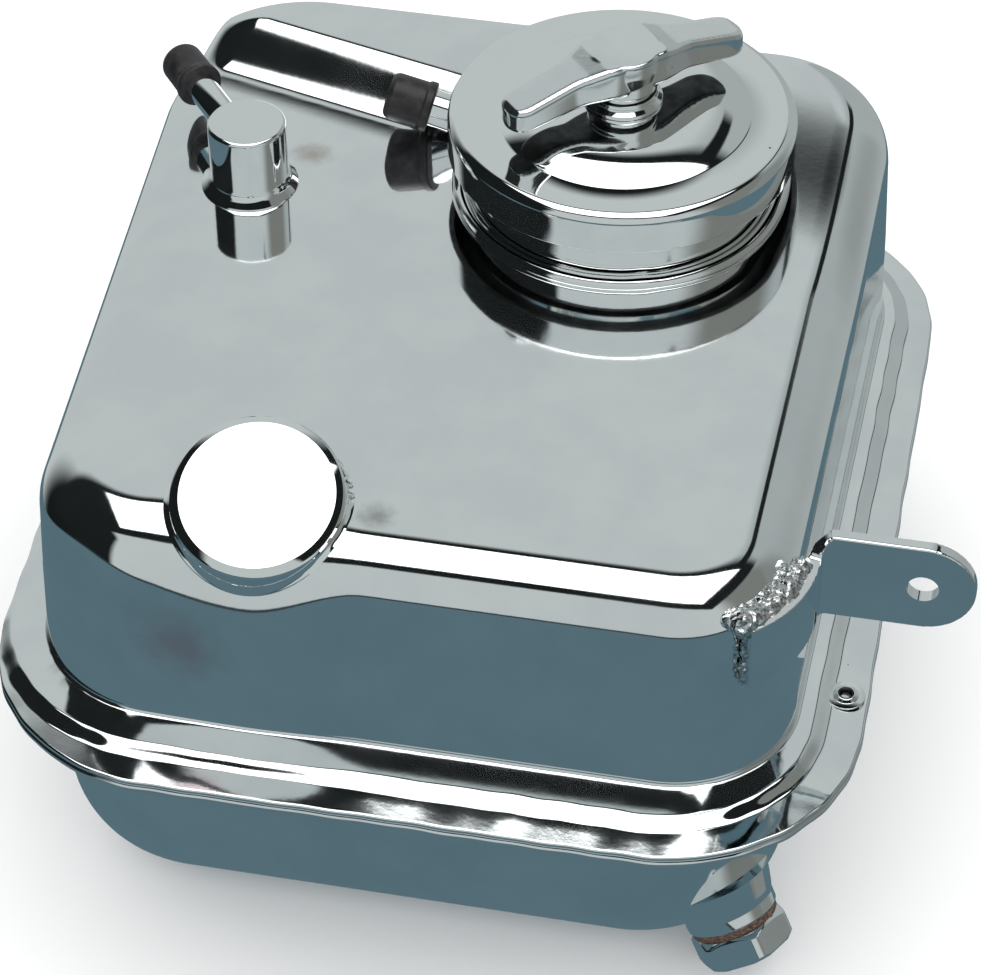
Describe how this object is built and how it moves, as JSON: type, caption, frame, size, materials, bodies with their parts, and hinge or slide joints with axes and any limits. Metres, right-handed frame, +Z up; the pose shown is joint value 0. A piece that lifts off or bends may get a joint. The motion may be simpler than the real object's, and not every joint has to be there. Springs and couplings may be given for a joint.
{
  "type": "fluid reservoir",
  "caption": "Plated pressed-steel fluid reservoir with welded flange, wing-handle filler cap, capped vent and overflow tubes, side bracket and corner drain plug.",
  "frame": {"origin": "centre of the mounting bracket's hole, half way through the bracket's sheet", "axes": "+X right along the tank's front, towards the bracket's free end; +Y to the rear, along the bracket hole; +Z up, along the filler cap's axis"},
  "size_m": [0.2051, 0.2112, 0.1471],
  "materials": {
    "chrome_plate": "polished plating over pressed sheet, with faint polishing lines",
    "cap_chrome": "bright mirror plating",
    "cast_chrome": "plating over a slightly uneven casting or hexagon",
    "weld_plate": "rough weld bead under plating",
    "bare_steel": "plain machined steel",
    "cap_rubber": "matt moulded rubber",
    "seal_rubber": "smooth nitrile rubber",
    "washer_fibre": "brown fibre sealing washer",
    "strainer_brass": "perforated brass"
  },
  "bodies": {
    "tank": {"upper_shell": "chrome_plate", "lower_shell": "chrome_plate", "seam_weld": "weld_plate", "filler_neck": "chrome_plate", "neck_weld": "weld_plate", "lock_lugs": "bare_steel", "vent_turret": "chrome_plate", "vent_weld": "weld_plate", "vent_tube": "chrome_plate", "overflow_tube": "chrome_plate", "front_boss": "cap_chrome", "boss_weld": "weld_plate", "mounting_bracket": "chrome_plate", "bracket_weld": "weld_plate", "flange_rivet": "cast_chrome", "drain_boss": "chrome_plate", "feed_outlet": "chrome_plate", "outlet_strainer": "strainer_brass", "baffle_plate": "bare_steel", "return_pipe": "bare_steel"},
    "filler_cap": {"cap_cover": "cap_chrome", "cap_gasket": "seal_rubber", "gasket_retainer": "bare_steel", "thrust_collar": "cast_chrome"},
    "wing_handle": {"cap_handle": "cast_chrome", "handle_pin": "bare_steel", "cap_spindle": "bare_steel", "lock_bar": "bare_steel", "spindle_nut": "bare_steel"},
    "vent_stopper": {"vent_rubber_cap": "cap_rubber"},
    "overflow_stopper": {"overflow_rubber_cap": "cap_rubber"},
    "drain_washer": {"drain_washer": "washer_fibre"},
    "drain_plug": {"drain_plug": "cast_chrome"}
  },
  "joints": [
    {"name": "cap_lift", "type": "slide", "parent": "tank", "child": "filler_cap", "axis": [0, 0, 1], "range_m": [0, 0.06]},
    {"name": "handle_turn", "type": "hinge", "parent": "filler_cap", "child": "wing_handle", "pos_m": [-0.078, 0.1012, 0.04], "axis": [0, 0, 1], "range_deg": [0, 90]},
    {"name": "vent_cap_pull", "type": "slide", "parent": "tank", "child": "vent_stopper", "axis": [-0.6293, 0.7771, 0], "range_m": [0, 0.018]},
    {"name": "overflow_cap_pull", "type": "slide", "parent": "tank", "child": "overflow_stopper", "axis": [-0.9703, 0, 0.2419], "range_m": [0, 0.018]},
    {"name": "drain_back_out", "type": "slide", "parent": "tank", "child": "drain_washer", "axis": [0.4662, -0.3361, -0.8183], "range_m": [0, 0.0105]},
    {"name": "drain_turn", "type": "hinge", "parent": "drain_washer", "child": "drain_plug", "pos_m": [-0.0319, -0.0162, -0.0877], "axis": [0.4662, -0.3361, -0.8183], "range_deg": [0, 2520]}
  ],
  "couplings": [
    {"joint": "drain_back_out", "follows": "drain_turn", "m_per_rad": 0.00023873}
  ]
}
